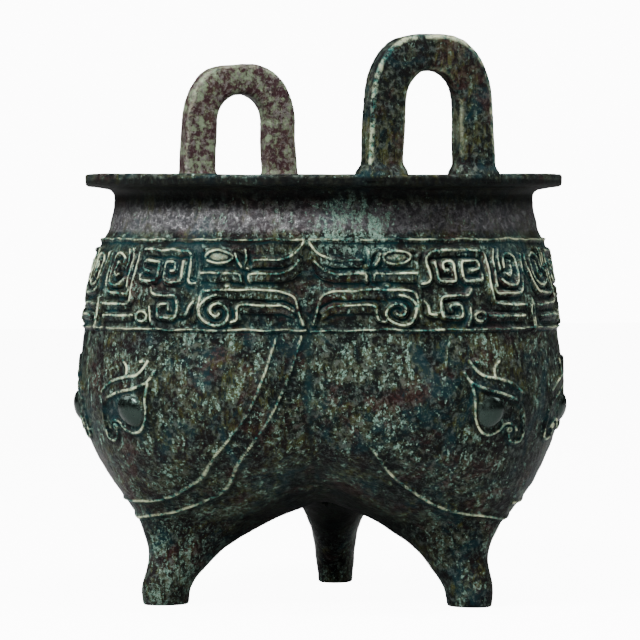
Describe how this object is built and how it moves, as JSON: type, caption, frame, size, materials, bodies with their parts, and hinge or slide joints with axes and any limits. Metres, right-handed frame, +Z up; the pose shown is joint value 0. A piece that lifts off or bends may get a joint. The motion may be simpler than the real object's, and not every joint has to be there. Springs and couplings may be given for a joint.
{
  "type": "bronze ding vessel",
  "caption": "Ancient cast bronze food cauldron with a lobed hollow belly, short solid legs, a flat lip, upright loop handles and a relief frieze",
  "frame": {"origin": "on the standing plane, under the middle of the bounding box; the vessel's own axis stands 2.3 mm from it towards +Y, because the lobe over the leg on -Y reaches further out than the lip", "axes": "+Z up along the vessel's axis; the handles stand on +X and -X; one leg is on the -Y side and the other two are at 30 and 150 degrees from +X"},
  "size_m": [0.1836, 0.1846, 0.2087],
  "materials": {
    "bronze": "dark patinated cast bronze, mottled green, blue-green and reddish brown, with pale rubbed ridges and a soft sheen"
  },
  "bodies": {
    "root": {"ding_vessel": "bronze"}
  },
  "joints": []
}
